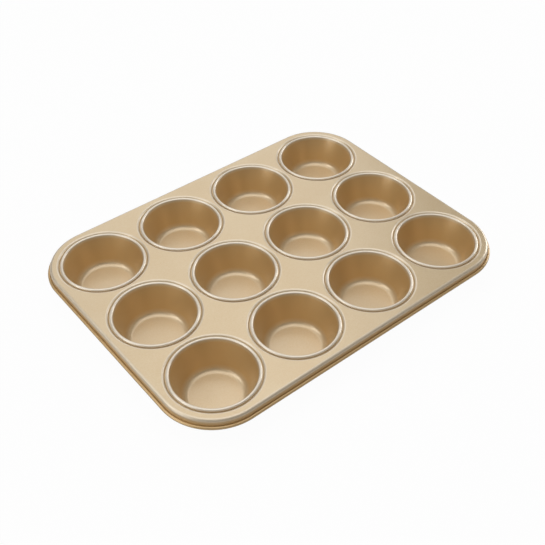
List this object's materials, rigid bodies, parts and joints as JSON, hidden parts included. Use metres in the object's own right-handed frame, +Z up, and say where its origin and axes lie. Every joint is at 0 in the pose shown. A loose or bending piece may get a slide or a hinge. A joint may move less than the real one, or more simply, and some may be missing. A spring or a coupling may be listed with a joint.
{
  "type": "muffin tin",
  "caption": "Coated steel muffin tin: round tapered cups with rolled rims, locked into a flat frame whose short skirt ends in a wired, rolled hem.",
  "frame": {"origin": "middle of the tin on the surface its cup floors rest on", "axes": "+Z up out of the cups, +X along a row of four cups, +Y across the rows"},
  "size_m": [0.3508, 0.2658, 0.0286],
  "materials": {
    "frame_coat": "satin champagne-gold non-stick coat",
    "cup_coat": "satin champagne-gold non-stick coat",
    "wire": "drawn steel wire"
  },
  "bodies": {
    "root": {"tray_frame": "frame_coat", "rim_wire": "wire", "cup_row1_col1": "cup_coat", "cup_row1_col2": "cup_coat", "cup_row1_col3": "cup_coat", "cup_row1_col4": "cup_coat", "cup_row2_col1": "cup_coat", "cup_row2_col2": "cup_coat", "cup_row2_col3": "cup_coat", "cup_row2_col4": "cup_coat", "cup_row3_col1": "cup_coat", "cup_row3_col2": "cup_coat", "cup_row3_col3": "cup_coat", "cup_row3_col4": "cup_coat"}
  },
  "joints": []
}
